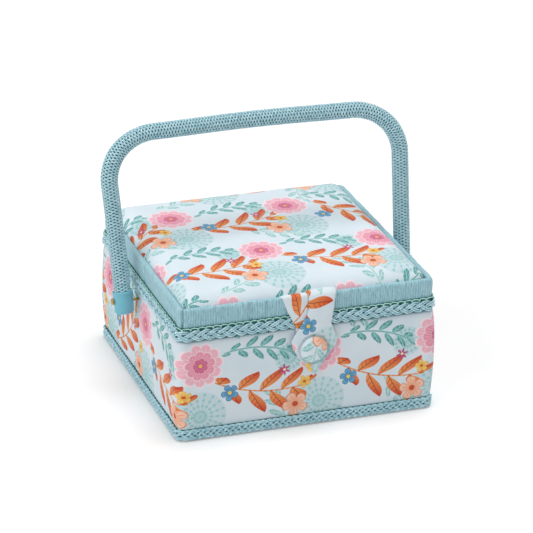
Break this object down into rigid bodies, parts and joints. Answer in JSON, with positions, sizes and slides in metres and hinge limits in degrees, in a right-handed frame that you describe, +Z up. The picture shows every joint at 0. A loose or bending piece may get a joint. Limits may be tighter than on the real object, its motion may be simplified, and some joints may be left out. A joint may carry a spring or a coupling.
{
  "type": "sewing box",
  "caption": "Square cloth-covered sewing box with a padded hinged lid, plaited trims, a bail handle on rivets, and a cloth loop that fastens on a covered button.",
  "frame": {"origin": "middle of the underside, on the surface that the box stands on", "axes": "+Z up, -Y to the front with the button, +X to the right along the handle's pivot line"},
  "size_m": [0.2466, 0.2139, 0.207],
  "materials": {
    "board": "matt grey board",
    "wadding": "white wadding",
    "printed_cloth": "printed cotton, pale aqua",
    "lining_cloth": "satin lining, pale teal",
    "plaited_trim": "shiny plaited braid, soft teal",
    "ribbon": "ribbed ribbon, teal",
    "brass": "dull brass",
    "ferrule_plastic": "moulded, teal, satin gloss",
    "inner_plastic": "plain moulded plastic"
  },
  "bodies": {
    "box": {"base_cloth": "lining_cloth", "base_board": "board", "front_wall": "board", "back_wall": "board", "left_wall": "board", "right_wall": "board", "front_wadding": "wadding", "back_wadding": "wadding", "left_wadding": "wadding", "right_wadding": "wadding", "wall_cover": "printed_cloth", "wall_lining": "lining_cloth", "floor_pad": "lining_cloth", "base_braid": "plaited_trim", "hinge_cloth": "lining_cloth", "button_shank": "inner_plastic", "button_shell": "inner_plastic", "button_cover": "printed_cloth", "handle_rivets": "brass", "rivet_washers": "brass"},
    "lid": {"lid_front_rim": "board", "lid_back_rim": "board", "lid_left_rim": "board", "lid_right_rim": "board", "lid_board": "board", "lid_ribbon": "ribbon", "lid_braid": "plaited_trim", "lid_wadding": "wadding", "lid_cover": "printed_cloth", "lid_rim_lining": "lining_cloth", "lid_lining": "lining_cloth"},
    "loop": {"button_loop": "ribbon"},
    "handle": {"handle_core": "inner_plastic", "handle_sleeve": "plaited_trim", "handle_ferrules": "ferrule_plastic"}
  },
  "joints": [
    {"name": "lid_hinge", "type": "hinge", "parent": "box", "child": "lid", "pos_m": [0, 0.1002, 0.081], "axis": [-1, 0, 0], "range_deg": [0, 40], "deforming": ["hinge_cloth", "button_loop"]},
    {"name": "loop_flip", "type": "hinge", "parent": "lid", "child": "loop", "pos_m": [0, -0.1008, 0.1065], "axis": [-1, 0, 0], "range_deg": [0, 150], "deforming": ["button_loop"]},
    {"name": "handle_fold", "type": "hinge", "parent": "box", "child": "handle", "pos_m": [0, 0, 0.0746], "axis": [-1, 0, 0], "range_deg": [-128, 102]}
  ]
}
